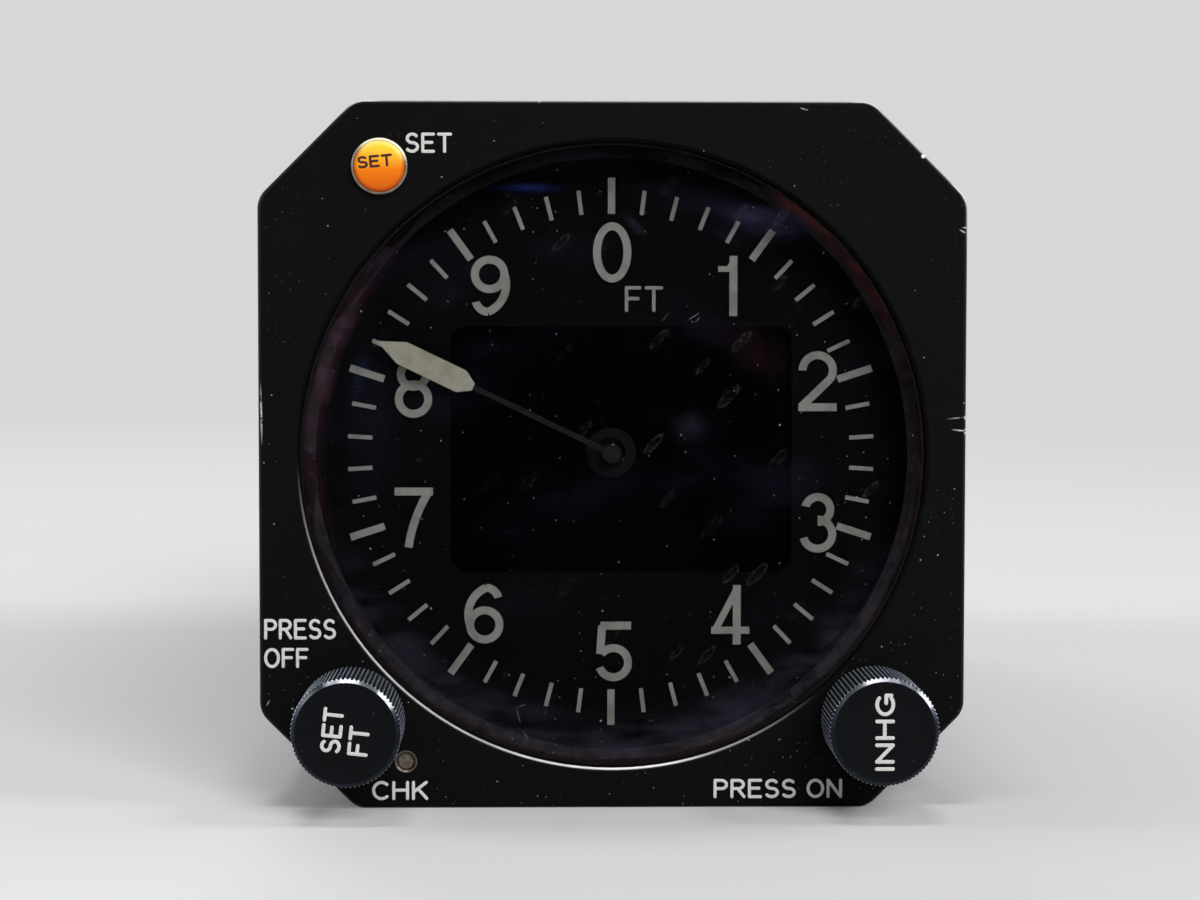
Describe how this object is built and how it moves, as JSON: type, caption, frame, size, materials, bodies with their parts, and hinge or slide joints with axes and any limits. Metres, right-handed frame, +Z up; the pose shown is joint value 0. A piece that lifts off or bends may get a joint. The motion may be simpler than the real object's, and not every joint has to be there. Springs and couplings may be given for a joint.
{
  "type": "air data display unit",
  "caption": "Square panel instrument with a round dial, single pointer, central display window, two push-turn knobs, a warning lamp and a long case with rear air ports.",
  "frame": {"origin": "where the dial's axis meets the bezel's back face, the plane of the panel", "axes": "+X to the right as the pilot sees it, +Y into the panel along the dial's axis, +Z up"},
  "size_m": [0.0828, 0.221, 0.0828],
  "materials": {
    "bezel": "satin black enamel, worn at the edges",
    "window": "coated glass",
    "seal": "matt",
    "dial": "matt black",
    "dial_print": "matt white print",
    "display": "dark glass, switched off",
    "backlight": "matt",
    "board": "green solder mask",
    "components": "matt",
    "ribbon": "amber film",
    "steel": "plain",
    "pointer": "matt cream",
    "hub": "grey anodised",
    "brass": "machined",
    "motor": "drawn can",
    "machined": "machined",
    "encoder": "moulded",
    "knob": "black anodised, knurled",
    "lamp_rim": "clear moulding",
    "lamp_amber": "amber lens",
    "test_button": "brown moulding",
    "case": "black paint",
    "connector": "olive plating",
    "insert": "moulded",
    "contacts": "gold plate"
  },
  "bodies": {
    "unit": {"bezel": "bezel", "glass": "window", "glass_seal": "seal", "rear_gasket": "seal", "port_seals": "seal", "air_lines": "seal", "dial": "dial", "dial_spacer": "dial", "dial_ticks": "dial_print", "dial_numerals": "dial_print", "display_panel": "display", "display_backlight": "backlight", "display_board": "board", "processor_board": "board", "power_board": "board", "board_parts": "components", "board_plugs": "components", "main_harness": "components", "test_switch": "components", "display_ribbon": "ribbon", "board_posts": "steel", "plate_standoffs": "steel", "pan_screws": "steel", "case_screws": "steel", "encoder_nuts": "steel", "lamp_nut": "steel", "test_bushing": "steel", "bearing_tube": "hub", "front_bearing": "brass", "rear_bearing": "brass", "tube_nut": "brass", "drive_motor": "motor", "drive_plate": "machined", "side_rails": "machined", "air_ports": "machined", "encoders": "encoder", "air_sensors": "encoder", "lamp_body": "lamp_rim", "lamp_lens": "lamp_amber", "lamp_led": "lamp_amber", "case": "case", "rear_plate": "case", "connector_shell": "connector", "connector_insert": "insert", "connector_pins": "contacts"},
    "pointer_arbor": {"pointer": "pointer", "pointer_cap": "pointer", "pointer_shaft": "steel", "pointer_gear": "brass"},
    "motor_rotor": {"motor_pinion": "brass", "motor_shaft": "steel"},
    "left_push_rod": {"left_plunger": "encoder"},
    "left_knob_set": {"left_knob": "knob", "left_set_screw": "steel", "left_knob_shaft": "steel"},
    "right_push_rod": {"right_plunger": "encoder"},
    "right_knob_set": {"right_knob": "knob", "right_set_screw": "steel", "right_knob_shaft": "steel"},
    "test_plunger": {"test_button": "test_button"}
  },
  "joints": [
    {"name": "pointer_spin", "type": "hinge", "parent": "unit", "child": "pointer_arbor", "pos_m": [0, 0, 0], "axis": [0, 1, 0], "continuous": true},
    {"name": "motor_spin", "type": "hinge", "parent": "unit", "child": "motor_rotor", "pos_m": [0.016, 0, 0], "axis": [0, 1, 0], "continuous": true},
    {"name": "left_knob_push", "type": "slide", "parent": "unit", "child": "left_push_rod", "axis": [0, 1, 0], "range_m": [0, 0.0008], "stiffness_N_per_m": 2000, "springref_m": -0.0008},
    {"name": "left_knob_turn", "type": "hinge", "parent": "left_push_rod", "child": "left_knob_set", "pos_m": [-0.0305, 0, -0.0306], "axis": [0, 1, 0], "continuous": true},
    {"name": "right_knob_push", "type": "slide", "parent": "unit", "child": "right_push_rod", "axis": [0, 1, 0], "range_m": [0, 0.0008], "stiffness_N_per_m": 2000, "springref_m": -0.0008},
    {"name": "right_knob_turn", "type": "hinge", "parent": "right_push_rod", "child": "right_knob_set", "pos_m": [0.0305, 0, -0.0306], "axis": [0, 1, 0], "continuous": true},
    {"name": "test_button_push", "type": "slide", "parent": "unit", "child": "test_plunger", "axis": [0, 1, 0], "range_m": [0, 0.0005], "stiffness_N_per_m": 1000, "springref_m": -0.0008}
  ],
  "couplings": [
    {"joint": "motor_spin", "follows": "pointer_spin", "ratio": -4}
  ]
}
